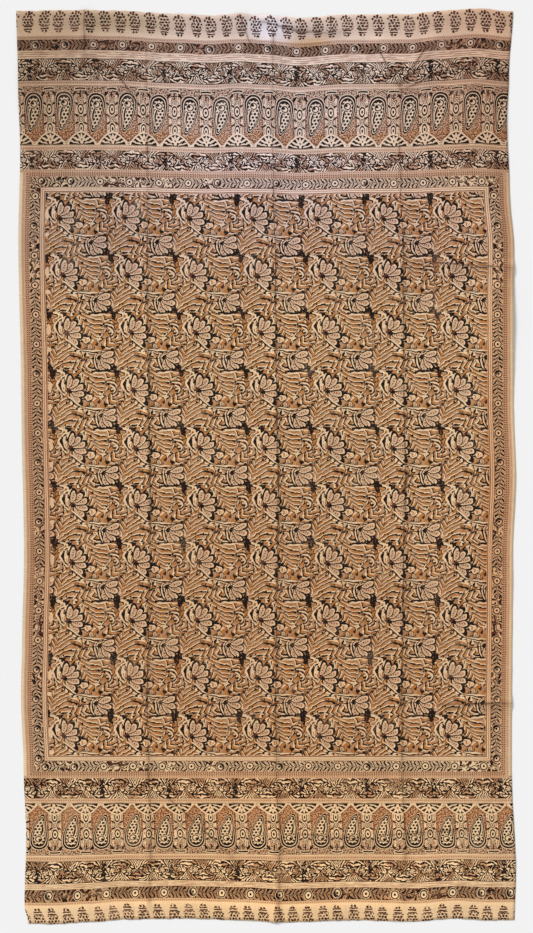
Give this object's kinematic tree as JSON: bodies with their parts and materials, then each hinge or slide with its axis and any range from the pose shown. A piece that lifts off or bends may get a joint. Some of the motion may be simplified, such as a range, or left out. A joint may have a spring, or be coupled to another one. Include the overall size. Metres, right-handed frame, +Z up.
{
  "type": "woodblock printed cotton cloth",
  "caption": "Loom-width cotton cloth, hand block printed with a floral field and end borders, laid flat with fold creases.",
  "frame": {"origin": "middle of the laid cloth's outline, on the surface that it rests on", "axes": "+X across the loom width, +Y along the cloth towards its faded end, +Z up from the surface towards the printed face"},
  "size_m": [1.154, 2.1144, 0.0068],
  "materials": {
    "printed_cotton": "plain-weave cotton, matt, block printed in black, red-brown and ochre, faded"
  },
  "bodies": {
    "root": {"cloth": "printed_cotton"}
  },
  "joints": []
}
